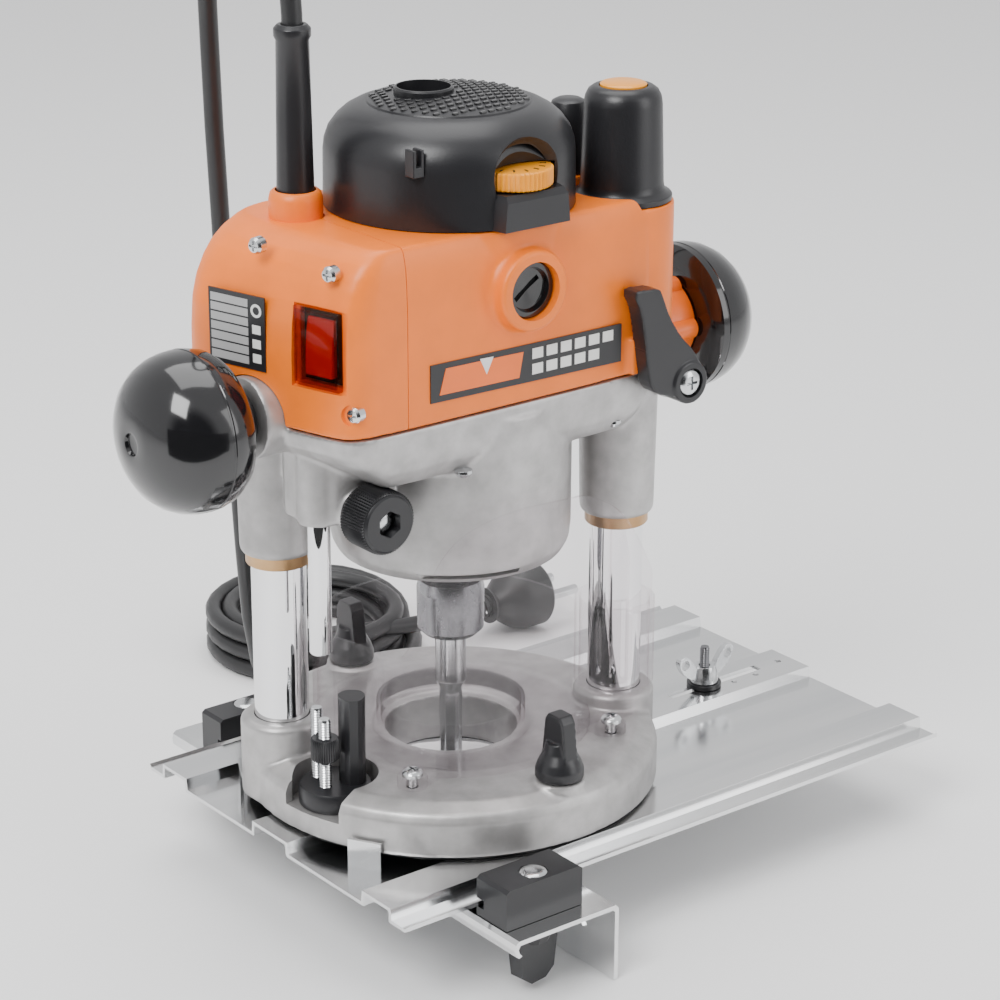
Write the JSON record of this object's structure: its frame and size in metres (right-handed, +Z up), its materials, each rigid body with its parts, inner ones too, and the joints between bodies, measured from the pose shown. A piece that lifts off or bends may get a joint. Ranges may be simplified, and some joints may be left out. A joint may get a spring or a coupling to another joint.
{
  "type": "plunge router",
  "caption": "Plunge router on two sprung columns, with a clear chip guard, a sliding sheet-metal guide base and an edge fence below it.",
  "frame": {"origin": "on the spindle axis, at the underside of the guide plate, which lies on the work", "axes": "+Z up along the spindle axis, X along the two side handles, -Y the side with the speed dial"},
  "size_m": [0.3548, 0.3941, 0.4525],
  "materials": {
    "cast_aluminium": "sand-cast, matt",
    "facing": "matt facing",
    "chrome": "polished",
    "spring_steel": "oiled",
    "steel": "bright zinc",
    "zinc_sheet": "bright zinc plate",
    "bit_steel": "ground",
    "clear_guard": "clear polycarbonate",
    "bronze": "sintered bronze",
    "orange_shell": "fine-grained moulding",
    "black_cap": "grained moulding",
    "black_gloss": "gloss moulding",
    "orange_detail": "smooth moulding",
    "amber_dial": "smooth moulding",
    "red_rocker": "translucent red",
    "smoked_window": "smoked flexible cover",
    "motor_steel": "laminated core and winding",
    "carbon": "carbon block",
    "cord_rubber": "rubber sheath"
  },
  "bodies": {
    "base": {"base_casting": "cast_aluminium", "sole_plate": "facing", "left_column": "chrome", "right_column": "chrome", "left_spring": "spring_steel", "right_spring": "spring_steel", "chip_shield": "clear_guard", "shield_front_screw": "steel", "shield_side_screw": "steel", "guide_plate": "zinc_sheet", "cord": "cord_rubber", "cord_coil": "cord_rubber", "plug": "cord_rubber"},
    "head": {"motor_casting": "cast_aluminium", "left_bush": "bronze", "right_bush": "bronze", "motor_housing": "orange_shell", "switch_side_cover": "orange_shell", "switch_body": "black_cap", "switch_window": "smoked_window", "top_cap": "black_cap", "front_brush_cap": "black_cap", "rear_brush_cap": "black_cap", "front_carbon_brush": "carbon", "rear_carbon_brush": "carbon", "cord_boot": "black_cap", "rear_clamp": "black_cap", "left_knob": "black_gloss", "right_knob": "black_gloss", "motor_field": "motor_steel", "lower_bearing": "steel", "upper_bearing": "steel"},
    "spindle": {"armature": "motor_steel", "collet_nut": "steel", "cutter": "bit_steel"},
    "depth_stop": {"depth_rod": "steel"},
    "depth_clamp": {"depth_knob": "black_gloss"},
    "turret": {"depth_turret": "black_gloss", "turret_screw_front": "steel", "turret_screw_rear": "steel"},
    "turret_lock": {"turret_nut": "steel"},
    "dial": {"speed_dial": "amber_dial"},
    "rocker": {"switch_rocker": "red_rocker"},
    "lever": {"lock_lever": "black_gloss", "lever_screw": "steel"},
    "clutch": {"clutch_ring": "orange_detail"},
    "adjuster": {"adjuster_cap": "black_gloss", "adjuster_disc": "orange_detail"},
    "base_clamp_front": {"base_knob_front": "black_gloss"},
    "base_clamp_rear": {"base_knob_rear": "black_gloss"},
    "fence": {"fence_rail": "zinc_sheet", "fence_block_front": "black_gloss", "fence_block_rear": "black_gloss", "fence_rivet_front": "steel", "fence_rivet_rear": "steel"},
    "fence_clamp_front": {"fence_knob_front": "black_gloss"},
    "fence_clamp_rear": {"fence_knob_rear": "black_gloss"},
    "pivot": {"pivot_bolt": "steel", "pivot_washer": "steel"},
    "wing_nut": {"pivot_wing_nut": "steel"}
  },
  "joints": [
    {"name": "plunge", "type": "slide", "parent": "base", "child": "head", "axis": [0, 0, 1], "range_m": [-0.026, 0], "stiffness_N_per_m": 800, "springref_m": 0.1, "deforming": ["left_spring", "right_spring"]},
    {"name": "spindle_spin", "type": "hinge", "parent": "head", "child": "spindle", "pos_m": [0, 0, 0.1], "axis": [0, 0, 1], "continuous": true},
    {"name": "depth_rod_slide", "type": "slide", "parent": "head", "child": "depth_stop", "axis": [0, 0, 1], "range_m": [0, 0.016]},
    {"name": "depth_knob_turn", "type": "hinge", "parent": "head", "child": "depth_clamp", "pos_m": [-0.061, -0.03, 0.1411], "axis": [0, 1, 0], "range_deg": [0, 270]},
    {"name": "turret_turn", "type": "hinge", "parent": "base", "child": "turret", "pos_m": [-0.067, -0.0125, 0.02], "axis": [0, 0, 1], "range_deg": [0, 240]},
    {"name": "turret_nut_turn", "type": "hinge", "parent": "turret", "child": "turret_lock", "pos_m": [-0.0726, -0.0137, 0.041], "axis": [0, 0, 1], "continuous": true},
    {"name": "speed_dial_turn", "type": "hinge", "parent": "head", "child": "dial", "pos_m": [0.0015, -0.0375, 0.266], "axis": [0, 0, 1], "range_deg": [-135, 135]},
    {"name": "rocker_press", "type": "hinge", "parent": "head", "child": "rocker", "pos_m": [-0.08116, -0.03022, 0.2122], "axis": [0.2689, -0.9632, 0], "range_deg": [0, 10]},
    {"name": "lock_lever_turn", "type": "hinge", "parent": "head", "child": "lever", "pos_m": [0.077, -0.0479, 0.1732], "axis": [0, 1, 0], "range_deg": [0, 40]},
    {"name": "clutch_ring_turn", "type": "hinge", "parent": "head", "child": "clutch", "pos_m": [0.1, 0, 0.1795], "axis": [1, 0, 0], "range_deg": [0, 60]},
    {"name": "fine_adjuster_turn", "type": "hinge", "parent": "head", "child": "adjuster", "pos_m": [0.0676, -0.0234, 0.25], "axis": [0, 0, 1], "continuous": true},
    {"name": "base_knob_front_turn", "type": "hinge", "parent": "base", "child": "base_clamp_front", "pos_m": [-0.0015, -0.0725, 0.04], "axis": [0, 0, 1], "continuous": true},
    {"name": "base_knob_rear_turn", "type": "hinge", "parent": "base", "child": "base_clamp_rear", "pos_m": [0.0015, 0.0725, 0.04], "axis": [0, 0, 1], "continuous": true},
    {"name": "fence_slide", "type": "slide", "parent": "base", "child": "fence", "axis": [1, 0, 0], "range_m": [-0.03, 0.12]},
    {"name": "fence_knob_front_turn", "type": "hinge", "parent": "fence", "child": "fence_clamp_front", "pos_m": [-0.0385, -0.1023, -0.02], "axis": [0, 0, 1], "continuous": true},
    {"name": "fence_knob_rear_turn", "type": "hinge", "parent": "fence", "child": "fence_clamp_rear", "pos_m": [-0.0385, 0.0945, -0.02], "axis": [0, 0, 1], "continuous": true},
    {"name": "pivot_slide", "type": "slide", "parent": "base", "child": "pivot", "axis": [1, 0, 0], "range_m": [-0.016, 0.028]},
    {"name": "wing_nut_turn", "type": "hinge", "parent": "pivot", "child": "wing_nut", "pos_m": [0.139, -0.0015, 0.014], "axis": [0, 0, 1], "continuous": true}
  ]
}
